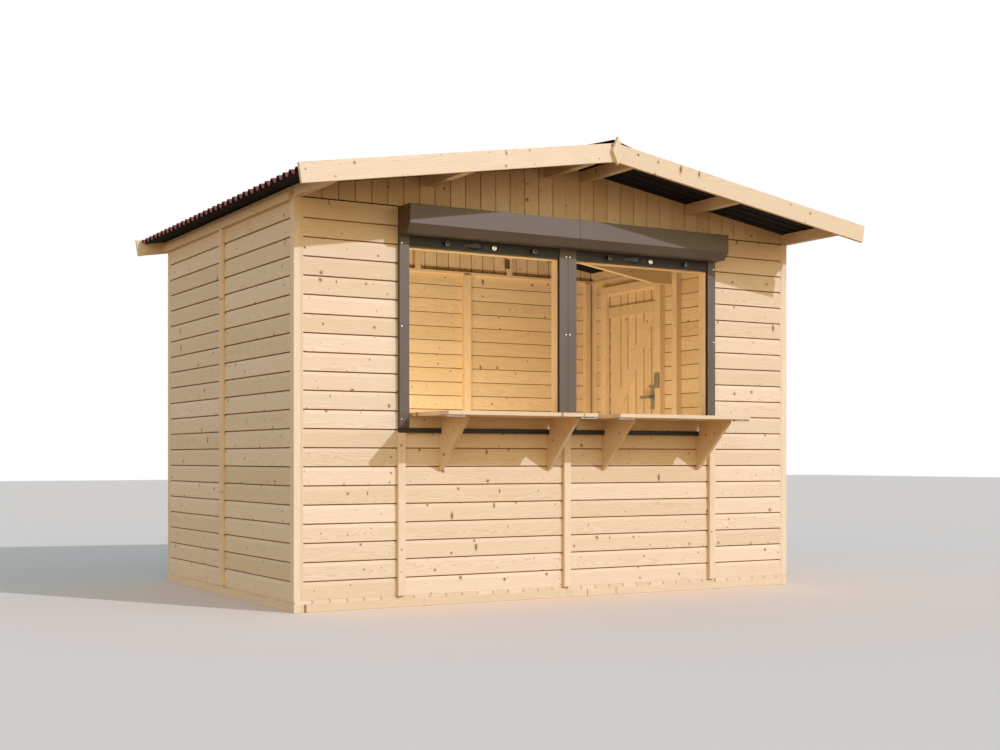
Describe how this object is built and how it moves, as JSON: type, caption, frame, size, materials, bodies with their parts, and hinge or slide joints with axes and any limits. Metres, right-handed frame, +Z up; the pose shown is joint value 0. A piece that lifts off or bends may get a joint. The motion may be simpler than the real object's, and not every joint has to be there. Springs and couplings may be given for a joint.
{
  "type": "wooden market stall",
  "caption": "Boarded timber market stall with gable roof of corrugated sheet, serving openings with roller shutters and shelves, and a side door.",
  "frame": {"origin": "middle of the footprint, on the ground", "axes": "+X along the serving front to the right of a customer, +Y from the front to the back, +Z up"},
  "size_m": [3.38, 2.61, 2.333],
  "materials": {
    "spruce": "planed, untreated",
    "roof_bitumen": "matt bitumen fibre sheet, red on its upper face",
    "shutter_paint": "satin powder coat",
    "shutter_plastic": "moulded",
    "galvanised": "galvanised",
    "lock_metal": "satin"
  },
  "bodies": {
    "stall": {"bargeboards_left": "spruce", "bargeboards_right": "spruce", "corner_posts": "spruce", "door_head": "spruce", "door_jambs": "spruce", "door_keeper": "lock_metal", "eave_battens": "spruce", "floor_boards": "spruce", "floor_frame": "spruce", "front_apron": "spruce", "front_gable": "spruce", "front_jamb_boards": "spruce", "front_lintel": "spruce", "front_side_panels": "spruce", "hinge_plates": "galvanised", "joint_battens": "spruce", "left_wall": "spruce", "middle_truss": "spruce", "opening_posts": "spruce", "opening_rails": "spruce", "outer_purlins": "spruce", "rear_gable": "spruce", "rear_wall": "spruce", "ridge_cap": "roof_bitumen", "ridge_plates": "spruce", "ridge_purlins": "spruce", "right_wall": "spruce", "right_wall_over_door": "spruce", "roof_sheet_left": "roof_bitumen", "roof_sheet_right": "roof_bitumen", "shelf_brackets": "spruce", "shelf_fittings": "galvanised", "shelves": "spruce", "shutter_bottom_rail": "shutter_paint", "shutter_box_left": "shutter_paint", "shutter_box_right": "shutter_paint", "shutter_curtains": "shutter_paint", "shutter_fittings": "shutter_plastic", "shutter_guides": "shutter_paint", "studs": "spruce", "top_plates": "spruce"},
    "door": {"door_leaf": "spruce", "door_ledges": "spruce", "door_braces": "spruce", "door_hinges": "galvanised", "door_lock": "lock_metal"},
    "lever": {"door_handle": "lock_metal"}
  },
  "joints": [
    {"name": "door_swing", "type": "hinge", "parent": "stall", "child": "door", "pos_m": [1.536, 0.7785, 0.96], "axis": [0, 0, 1], "range_deg": [0, 170]},
    {"name": "lever_turn", "type": "hinge", "parent": "door", "child": "lever", "pos_m": [1.5, 0.24, 1.135], "axis": [-1, 0, 0], "range_deg": [0, 40], "stiffness_Nm_per_rad": 0.8, "springref_deg": -22.92}
  ]
}
